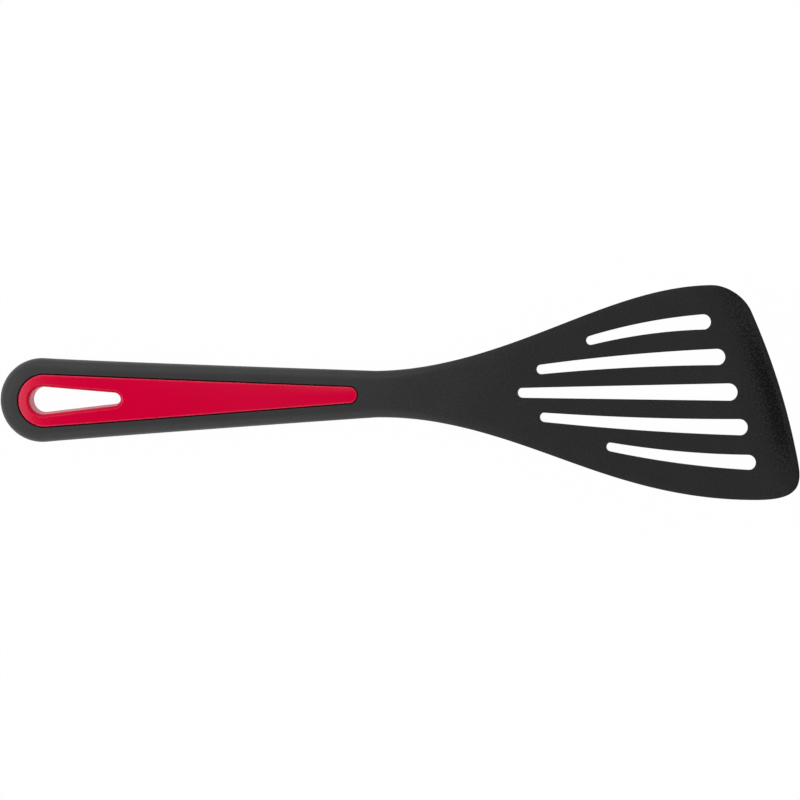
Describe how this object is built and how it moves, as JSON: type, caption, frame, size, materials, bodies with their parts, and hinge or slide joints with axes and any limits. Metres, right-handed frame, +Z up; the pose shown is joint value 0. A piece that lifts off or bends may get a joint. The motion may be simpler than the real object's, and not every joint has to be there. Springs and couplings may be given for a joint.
{
  "type": "slotted turner",
  "caption": "Slotted kitchen turner: a dark moulding with a fanned, skew-edged blade that rises from a tapering handle, and a red handle insert round its hanging eye.",
  "frame": {"origin": "on the plane of the handle's flat back, at the centre of the hanging eye's large end", "axes": "+X along the handle from the hanging eye towards the blade, +Z up out of the handle's top, on the insert's side"},
  "size_m": [0.2996, 0.0802, 0.0405],
  "materials": {
    "nylon_dark": "satin, finely grained on the blade",
    "insert_red": "smooth satin"
  },
  "bodies": {
    "root": {"turner_body": "nylon_dark", "handle_insert": "insert_red"}
  },
  "joints": []
}
